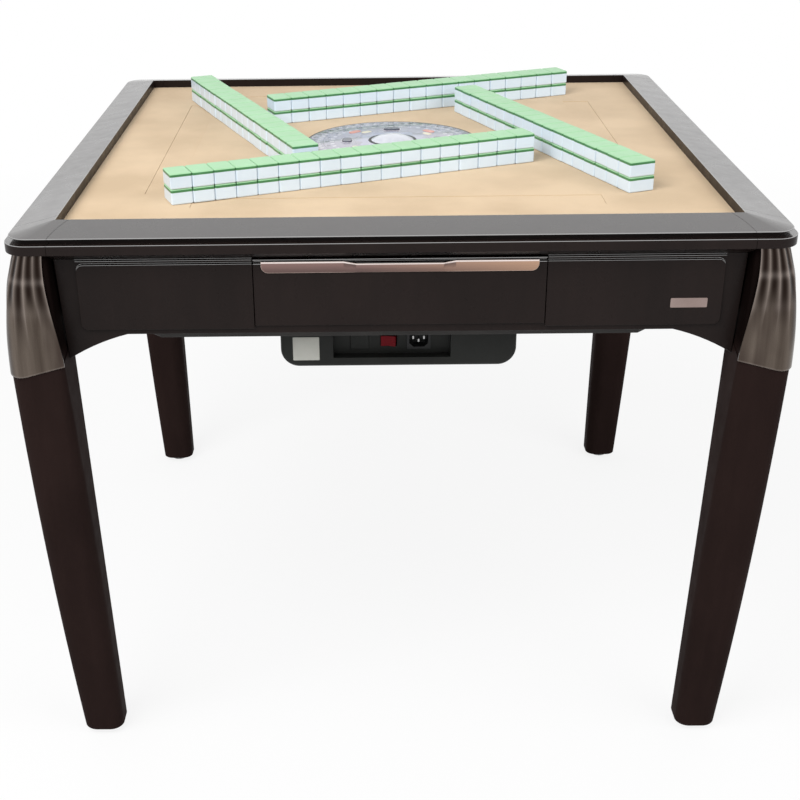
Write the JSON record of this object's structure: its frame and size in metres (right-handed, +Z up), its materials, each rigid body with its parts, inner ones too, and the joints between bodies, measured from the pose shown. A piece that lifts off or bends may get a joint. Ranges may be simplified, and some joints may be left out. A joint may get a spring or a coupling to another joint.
{
  "type": "mahjong table",
  "caption": "Square machine mahjong table with a rimmed felt top, rising control disc, tile walls, a drawer on each side and tapered legs.",
  "frame": {"origin": "on the floor under the centre of the table top", "axes": "+Z up, -Y out of the side with the mains socket, +X to that side's right"},
  "size_m": [0.9694, 0.9694, 0.783],
  "materials": {
    "lacquered_wood": "satin espresso lacquer",
    "drawer_box": "dark lined board",
    "rose_metal": "brushed rose gold anodising",
    "lift_plate": "felt-faced plate",
    "button_plastic": "glossy dark button",
    "tile_resin": "polished white and green resin",
    "board_wood": "plain board",
    "felt": "short-napped tan felt",
    "steel": "zinc plated",
    "black_plastic": "fine grained",
    "bronze_plating": "brushed antique bronze plating",
    "glide_plastic": "moulded",
    "runner_plastic": "moulded",
    "disc_plastic": "lit translucent panel",
    "clear_plastic": "clear moulding",
    "pan_metal": "textured dark paint",
    "base_plastic": "fine grained dark grey",
    "red_plastic": "translucent red",
    "tub_plastic": "moulded",
    "drive_rubber": "ground tyre"
  },
  "bodies": {
    "table_frame": {"rim_rail_front": "lacquered_wood", "apron_front": "lacquered_wood", "rim_rail_right": "lacquered_wood", "apron_right": "lacquered_wood", "rim_rail_back": "lacquered_wood", "apron_back": "lacquered_wood", "rim_rail_left": "lacquered_wood", "apron_left": "lacquered_wood", "leg_front_left": "lacquered_wood", "leg_front_right": "lacquered_wood", "leg_back_right": "lacquered_wood", "leg_back_left": "lacquered_wood", "rim_corners": "lacquered_wood", "field_board": "board_wood", "field_felt": "felt", "lift_guides": "steel", "lift_motors": "black_plastic", "leg_caps": "bronze_plating", "levelling_feet": "glide_plastic", "leg_brackets": "steel", "leg_bolts": "steel", "drawer_runners": "runner_plastic", "bottom_pan": "pan_metal", "base_box": "base_plastic", "power_inlet": "black_plastic", "inlet_pins": "steel", "shuffle_tub": "tub_plastic", "shuffle_motor": "pan_metal"},
    "drawer_front": {"drawer_front_front": "lacquered_wood", "drawer_box_front": "drawer_box", "drawer_handle_front": "rose_metal"},
    "drawer_right": {"drawer_front_right": "lacquered_wood", "drawer_box_right": "drawer_box", "drawer_handle_right": "rose_metal"},
    "drawer_back": {"drawer_front_back": "lacquered_wood", "drawer_box_back": "drawer_box", "drawer_handle_back": "rose_metal"},
    "drawer_left": {"drawer_front_left": "lacquered_wood", "drawer_box_left": "drawer_box", "drawer_handle_left": "rose_metal"},
    "control_disc": {"disc_base": "black_plastic", "disc_ring": "disc_plastic", "disc_dome": "clear_plastic", "dice": "tile_resin", "lift_mast": "steel"},
    "button_front": {"seat_button_front": "button_plastic"},
    "button_right": {"seat_button_right": "button_plastic"},
    "button_back": {"seat_button_back": "button_plastic"},
    "button_left": {"seat_button_left": "button_plastic"},
    "lift_front": {"tile_lift_front": "lift_plate"},
    "lift_right": {"tile_lift_right": "lift_plate"},
    "lift_back": {"tile_lift_back": "lift_plate"},
    "lift_left": {"tile_lift_left": "lift_plate"},
    "turntable": {"shuffle_turntable": "tub_plastic"},
    "drive_wheel": {"drive_pinion": "drive_rubber"},
    "rocker": {"power_rocker": "red_plastic"},
    "wall_front": {"tile_wall_front": "tile_resin"},
    "wall_right": {"tile_wall_right": "tile_resin"},
    "wall_back": {"tile_wall_back": "tile_resin"},
    "wall_left": {"tile_wall_left": "tile_resin"}
  },
  "joints": [
    {"name": "drawer_front_slide", "type": "slide", "parent": "table_frame", "child": "drawer_front", "axis": [0, -1, 0], "range_m": [0, 0.075]},
    {"name": "drawer_right_slide", "type": "slide", "parent": "table_frame", "child": "drawer_right", "axis": [1, 0, 0], "range_m": [0, 0.075]},
    {"name": "drawer_back_slide", "type": "slide", "parent": "table_frame", "child": "drawer_back", "axis": [0, 1, 0], "range_m": [0, 0.075]},
    {"name": "drawer_left_slide", "type": "slide", "parent": "table_frame", "child": "drawer_left", "axis": [-1, 0, 0], "range_m": [0, 0.075]},
    {"name": "disc_lift", "type": "slide", "parent": "table_frame", "child": "control_disc", "axis": [0, 0, 1], "range_m": [0, 0.055]},
    {"name": "button_front_press", "type": "slide", "parent": "control_disc", "child": "button_front", "axis": [0, 0, -1], "range_m": [0, 0.0015], "stiffness_N_per_m": 300, "springref_m": -0.002},
    {"name": "button_right_press", "type": "slide", "parent": "control_disc", "child": "button_right", "axis": [0, 0, -1], "range_m": [0, 0.0015], "stiffness_N_per_m": 300, "springref_m": -0.002},
    {"name": "button_back_press", "type": "slide", "parent": "control_disc", "child": "button_back", "axis": [0, 0, -1], "range_m": [0, 0.0015], "stiffness_N_per_m": 300, "springref_m": -0.002},
    {"name": "button_left_press", "type": "slide", "parent": "control_disc", "child": "button_left", "axis": [0, 0, -1], "range_m": [0, 0.0015], "stiffness_N_per_m": 300, "springref_m": -0.002},
    {"name": "tile_lift_front_drop", "type": "slide", "parent": "table_frame", "child": "lift_front", "axis": [0, 0, -1], "range_m": [0, 0.042]},
    {"name": "tile_lift_right_drop", "type": "slide", "parent": "table_frame", "child": "lift_right", "axis": [0, 0, -1], "range_m": [0, 0.042]},
    {"name": "tile_lift_back_drop", "type": "slide", "parent": "table_frame", "child": "lift_back", "axis": [0, 0, -1], "range_m": [0, 0.042]},
    {"name": "tile_lift_left_drop", "type": "slide", "parent": "table_frame", "child": "lift_left", "axis": [0, 0, -1], "range_m": [0, 0.042]},
    {"name": "shuffle_spin", "type": "hinge", "parent": "table_frame", "child": "turntable", "pos_m": [0, 0, 0.615], "axis": [0, 0, 1], "continuous": true},
    {"name": "pinion_spin", "type": "hinge", "parent": "table_frame", "child": "drive_wheel", "pos_m": [0, -0.21475, 0.6085], "axis": [0, 0, 1], "continuous": true},
    {"name": "power_rock", "type": "hinge", "parent": "table_frame", "child": "rocker", "pos_m": [-0.01225, -0.374, 0.5755], "axis": [0, 0, 1], "range_deg": [0, 16]},
    {"name": "tile_wall_front_off", "type": "slide", "parent": "table_frame", "child": "wall_front", "axis": [0, 0, 1], "range_m": [0, 0.06]},
    {"name": "tile_wall_right_off", "type": "slide", "parent": "table_frame", "child": "wall_right", "axis": [0, 0, 1], "range_m": [0, 0.06]},
    {"name": "tile_wall_back_off", "type": "slide", "parent": "table_frame", "child": "wall_back", "axis": [0, 0, 1], "range_m": [0, 0.06]},
    {"name": "tile_wall_left_off", "type": "slide", "parent": "table_frame", "child": "wall_left", "axis": [0, 0, 1], "range_m": [0, 0.06]}
  ],
  "couplings": [
    {"joint": "pinion_spin", "follows": "shuffle_spin", "ratio": 11.75}
  ]
}
